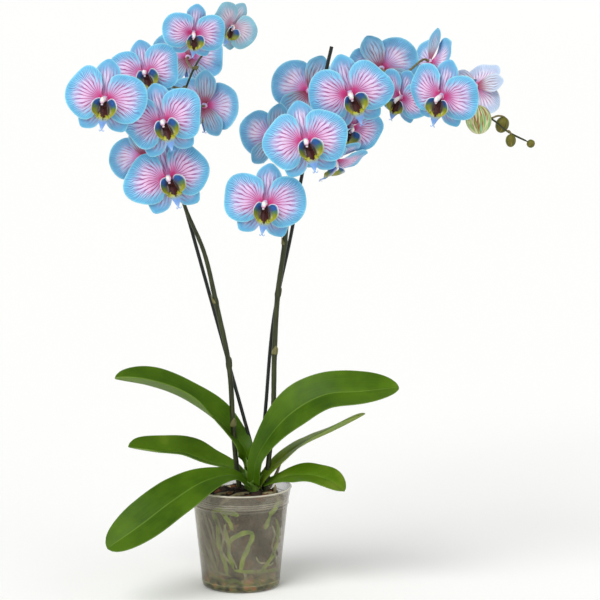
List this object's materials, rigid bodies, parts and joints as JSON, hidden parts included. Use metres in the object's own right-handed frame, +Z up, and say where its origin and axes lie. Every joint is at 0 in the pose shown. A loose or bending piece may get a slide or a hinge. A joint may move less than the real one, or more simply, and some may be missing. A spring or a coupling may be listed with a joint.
{
  "type": "potted orchid",
  "caption": "Moth orchid with staked, arching flower spikes of blue blooms over strap leaves, potted in bark in a clear tapered plastic pot.",
  "frame": {"origin": "middle of the pot's underside, on the surface that the pot stands on", "axes": "+Z up, -Y towards the viewer of the picture, +X to the right"},
  "size_m": [0.5306, 0.1834, 0.6844],
  "materials": {
    "pot_plastic": "thin clear plastic, slightly hazed",
    "bark": "damp chipped bark",
    "root": "grey-green aerial roots",
    "leaf": "thick leathery leaf, satin",
    "spike": "dark olive flower stems and buds",
    "stake": "dark coated stake",
    "petal": "soft matt petals",
    "lip": "waxy lip and column"
  },
  "bodies": {
    "root": {"pot": "pot_plastic", "bark": "bark", "roots": "root", "crown": "leaf", "spike_left": "spike", "spike_right": "spike", "stake_left": "stake", "stake_right": "stake", "leaf_left_high": "leaf", "leaf_right_high": "leaf", "leaf_right_back": "leaf", "leaf_right_low": "leaf", "leaf_left_back": "leaf", "leaf_left_front": "leaf", "bloom_left_1_tepals": "petal", "bloom_left_2_tepals": "petal", "bloom_left_3_tepals": "petal", "bloom_left_4_tepals": "petal", "bloom_left_5_tepals": "petal", "bloom_left_6_tepals": "petal", "bloom_left_7_tepals": "petal", "bloom_left_8_tepals": "petal", "bloom_left_9_tepals": "petal", "bloom_right_1_tepals": "petal", "bloom_right_2_tepals": "petal", "bloom_right_3_tepals": "petal", "bloom_right_4_tepals": "petal", "bloom_right_5_tepals": "petal", "bloom_right_6_tepals": "petal", "bloom_right_7_tepals": "petal", "bloom_right_8_tepals": "petal", "bloom_right_9_tepals": "petal", "bloom_right_10_tepals": "petal", "bloom_right_11_tepals": "petal", "bloom_right_12_tepals": "petal", "bloom_left_1_lip": "lip", "bloom_left_2_lip": "lip", "bloom_left_3_lip": "lip", "bloom_left_4_lip": "lip", "bloom_left_5_lip": "lip", "bloom_left_6_lip": "lip", "bloom_left_7_lip": "lip", "bloom_left_8_lip": "lip", "bloom_left_9_lip": "lip", "bloom_right_1_lip": "lip", "bloom_right_2_lip": "lip", "bloom_right_3_lip": "lip", "bloom_right_4_lip": "lip", "bloom_right_5_lip": "lip", "bloom_right_6_lip": "lip", "bloom_right_7_lip": "lip", "bloom_right_8_lip": "lip", "bloom_right_9_lip": "lip", "bloom_right_10_lip": "lip", "bloom_right_11_lip": "lip", "bloom_right_12_lip": "lip"}
  },
  "joints": []
}
